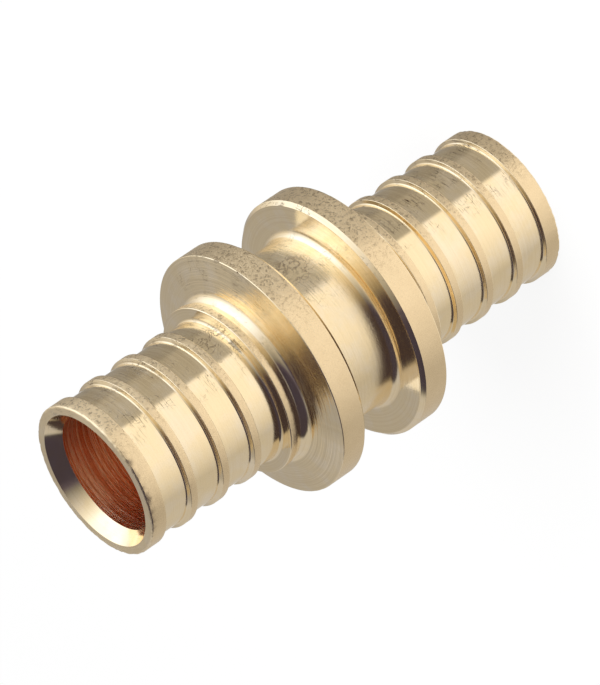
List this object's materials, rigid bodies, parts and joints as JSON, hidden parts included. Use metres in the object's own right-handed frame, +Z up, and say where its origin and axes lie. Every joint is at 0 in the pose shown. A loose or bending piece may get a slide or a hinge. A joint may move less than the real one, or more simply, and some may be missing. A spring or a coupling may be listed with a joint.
{
  "type": "pex pipe coupling",
  "caption": "Straight brass pipe coupling with ribbed spigots, stop collars, round flanges either side of a waist for the pressing tool, and a plain bore with countersunk mouths.",
  "frame": {"origin": "centre of the lower end face, on the bore's axis, where the coupling stands", "axes": "+Z up along the bore's axis; the part is round about it, so +X and +Y are free"},
  "size_m": [0.033, 0.033, 0.0674],
  "materials": {
    "brass": "turned and bright, with rough rolled skin on the rib tops, the collar and the flange rims"
  },
  "bodies": {
    "root": {"coupling_body": "brass"}
  },
  "joints": []
}
